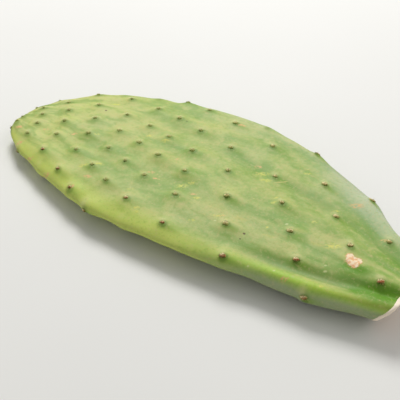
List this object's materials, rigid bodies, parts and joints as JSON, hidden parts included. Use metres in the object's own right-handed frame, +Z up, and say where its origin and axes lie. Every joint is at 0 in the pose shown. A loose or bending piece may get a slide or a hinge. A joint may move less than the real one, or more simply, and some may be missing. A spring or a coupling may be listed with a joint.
{
  "type": "prickly pear cactus pad",
  "caption": "Flat paddle-shaped cactus stem segment, rounded at the young end and cut across at the joint, with small spiny cushions on low bumps in spiral rows over both faces.",
  "frame": {"origin": "middle of the bounding box's bottom, on the plane that the pad rests on", "axes": "+X along the pad from the round tip to the cut joint, +Y across it towards the fuller edge, +Z up through its thickness"},
  "size_m": [0.351, 0.162, 0.0312],
  "materials": {
    "pad": "waxy green skin, satin"
  },
  "bodies": {
    "root": {"pad": "pad"}
  },
  "joints": []
}
